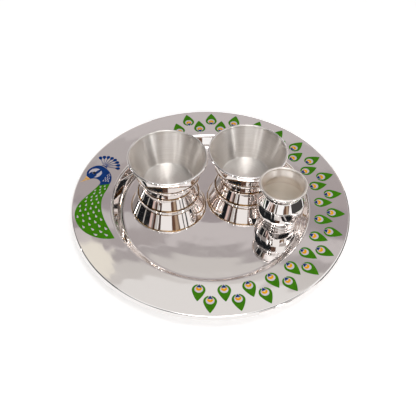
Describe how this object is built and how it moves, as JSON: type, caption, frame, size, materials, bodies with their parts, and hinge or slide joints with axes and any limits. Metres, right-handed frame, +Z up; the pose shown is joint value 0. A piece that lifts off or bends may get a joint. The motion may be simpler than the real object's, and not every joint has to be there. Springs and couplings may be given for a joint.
{
  "type": "puja thali",
  "caption": "Round polished offering plate with a flat enamelled rim and a recessed well that holds loose flared bowls and a small necked pot.",
  "frame": {"origin": "middle of the plate's underside, on the surface that it rests on", "axes": "+Z up, +X to the right as seen from the front, +Y away from the front"},
  "size_m": [0.254, 0.254, 0.0452],
  "materials": {
    "plate_silver": "mirror-polished silver plate on spun metal",
    "vessel_silver": "mirror-polished silver plate outside, satin spun inside",
    "green_enamel": "smooth cold enamel",
    "orange_enamel": "smooth cold enamel",
    "blue_enamel": "smooth cold enamel",
    "black_enamel": "smooth cold enamel"
  },
  "bodies": {
    "plate": {"thali_plate": "plate_silver", "feather_greens": "green_enamel", "feather_crescents": "orange_enamel", "feather_hearts": "blue_enamel", "peacock_breast": "green_enamel", "peacock_head": "blue_enamel", "peacock_crest": "blue_enamel", "peacock_beak": "orange_enamel", "peacock_eye": "black_enamel"},
    "left_katori": {"left_bowl": "vessel_silver", "left_bowl_band": "vessel_silver"},
    "right_katori": {"right_bowl": "vessel_silver", "right_bowl_band": "vessel_silver"},
    "kalash": {"kalash_neck": "vessel_silver", "kalash_body": "vessel_silver", "kalash_foot": "vessel_silver"}
  },
  "joints": [
    {"name": "left_bowl_lift", "type": "slide", "parent": "plate", "child": "left_katori", "axis": [0, 0, 1], "range_m": [0, 0.05]},
    {"name": "right_bowl_lift", "type": "slide", "parent": "plate", "child": "right_katori", "axis": [0, 0, 1], "range_m": [0, 0.05]},
    {"name": "kalash_lift", "type": "slide", "parent": "plate", "child": "kalash", "axis": [0, 0, 1], "range_m": [0, 0.05]}
  ]
}
